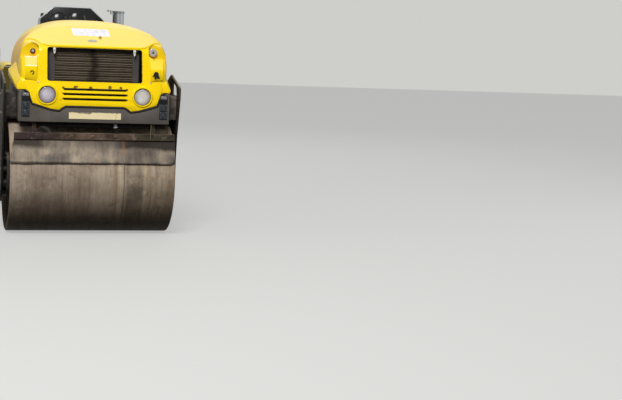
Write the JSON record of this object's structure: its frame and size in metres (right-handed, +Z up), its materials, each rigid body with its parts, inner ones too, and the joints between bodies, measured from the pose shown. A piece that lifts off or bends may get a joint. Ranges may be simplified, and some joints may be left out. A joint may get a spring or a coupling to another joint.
{
  "type": "tandem road roller",
  "caption": "Compact hinged tandem roller with smooth steel drums, a tilting hood, drum wipers, side yokes and an open driver's place.",
  "frame": {"origin": "on the ground, under the steering pivot, half way between the drums", "axes": "the front faces -Y, Z is up, +X is on the driver's left"},
  "size_m": [1.396, 2.85, 1.812],
  "materials": {
    "frame_grey": "satin, dusty",
    "yoke_grey": "satin, dusty",
    "buffer_rubber": "matte",
    "hub_iron": "rough",
    "bar_steel": "worn",
    "mat_rubber": "dirty",
    "pipe_steel": "dull",
    "radiator_dark": "dusty",
    "engine_iron": "rough",
    "panel_black": "satin",
    "exhaust_steel": "dull",
    "lamp_black": "satin",
    "plate_cream": "satin",
    "seal_rubber": "matte",
    "hood_yellow": "gloss",
    "lamp_glass": "clear",
    "drum_steel": "worn",
    "rod_chrome": "polished",
    "lamp_red": "gloss",
    "tread_black": "worn",
    "dash_black": "gloss",
    "cap_black": "matte",
    "wheel_black": "satin",
    "seat_vinyl": "vinyl"
  },
  "bodies": {
    "front_frame": {"front_frame": "frame_grey", "front_nose": "frame_grey", "front_outriggers": "frame_grey", "hitch_ears": "frame_grey", "front_yokes": "yoke_grey", "front_buffers": "buffer_rubber", "front_hubs": "hub_iron", "front_bar": "bar_steel", "front_mat": "mat_rubber", "front_spray": "pipe_steel", "radiator": "radiator_dark", "engine": "engine_iron", "firewall": "panel_black", "exhaust_pipe": "exhaust_steel", "front_lamps": "lamp_black", "number_plate": "plate_cream", "hood_seal": "seal_rubber"},
    "hood": {"hood_shell": "hood_yellow", "headlamps": "lamp_glass", "marker_lamps": "lamp_glass"},
    "front_drum": {"front_drum": "drum_steel"},
    "exhaust_cap": {"exhaust_cap": "exhaust_steel"},
    "hitch": {"hitch_block": "hub_iron"},
    "steer_barrel": {"steer_barrel": "panel_black"},
    "steer_rod": {"steer_rod": "rod_chrome"},
    "rear_frame": {"rear_frame": "frame_grey", "rear_nose": "frame_grey", "rear_outriggers": "frame_grey", "platform_beams": "frame_grey", "rear_yokes": "yoke_grey", "rear_buffers": "buffer_rubber", "rear_hubs": "hub_iron", "rear_bar": "bar_steel", "rear_mat": "mat_rubber", "rear_spray": "pipe_steel", "rear_lamps": "lamp_red", "platform": "tread_black", "steps": "tread_black", "console": "dash_black", "travel_levers": "dash_black", "tank": "hood_yellow", "filler_caps": "cap_black", "handrails": "panel_black", "seat_rails": "pipe_steel"},
    "rear_drum": {"rear_drum": "drum_steel"},
    "steering_wheel": {"steering_wheel": "wheel_black"},
    "seat": {"seat_carriage": "panel_black", "seat_pan": "dash_black", "seat_cushion": "seat_vinyl", "seat_back": "seat_vinyl"}
  },
  "joints": [
    {"name": "steer", "type": "hinge", "parent": "front_frame", "child": "hitch", "pos_m": [0, 0, 0.56], "axis": [0, 0, 1], "range_deg": [-30, 30]},
    {"name": "rock", "type": "hinge", "parent": "hitch", "child": "rear_frame", "pos_m": [0, 0.3, 0.56], "axis": [0, 1, 0], "range_deg": [-6, 6]},
    {"name": "front_drum_spin", "type": "hinge", "parent": "front_frame", "child": "front_drum", "pos_m": [0, -0.975, 0.45], "axis": [1, 0, 0], "continuous": true},
    {"name": "rear_drum_spin", "type": "hinge", "parent": "rear_frame", "child": "rear_drum", "pos_m": [0, 0.975, 0.45], "axis": [1, 0, 0], "continuous": true},
    {"name": "hood_lift", "type": "hinge", "parent": "front_frame", "child": "hood", "pos_m": [0, -0.455, 1.655], "axis": [-1, 0, 0], "range_deg": [0, 55]},
    {"name": "exhaust_cap_lift", "type": "hinge", "parent": "front_frame", "child": "exhaust_cap", "pos_m": [0.265, -0.33, 1.789], "axis": [0, -1, 0], "range_deg": [0, 75]},
    {"name": "steering_wheel_turn", "type": "hinge", "parent": "rear_frame", "child": "steering_wheel", "pos_m": [-0.04, 0.236, 1.692], "axis": [0, 0.5, 0.866], "continuous": true},
    {"name": "seat_slide", "type": "slide", "parent": "rear_frame", "child": "seat", "axis": [1, 0, 0], "range_m": [-0.15, 0.15]},
    {"name": "steer_barrel_swing", "type": "hinge", "parent": "front_frame", "child": "steer_barrel", "pos_m": [0.25, -0.43, 0.56], "axis": [0, 0, 1], "range_deg": [-3, 3]},
    {"name": "steer_rod_slide", "type": "slide", "parent": "steer_barrel", "child": "steer_rod", "axis": [-0.2873, 0.9578, 0], "range_m": [-0.065, 0.065]}
  ],
  "couplings": [
    {"joint": "steer_barrel_swing", "follows": "steer", "ratio": -0.0339},
    {"joint": "steer_rod_slide", "follows": "steer", "m_per_rad": 0.1123}
  ]
}
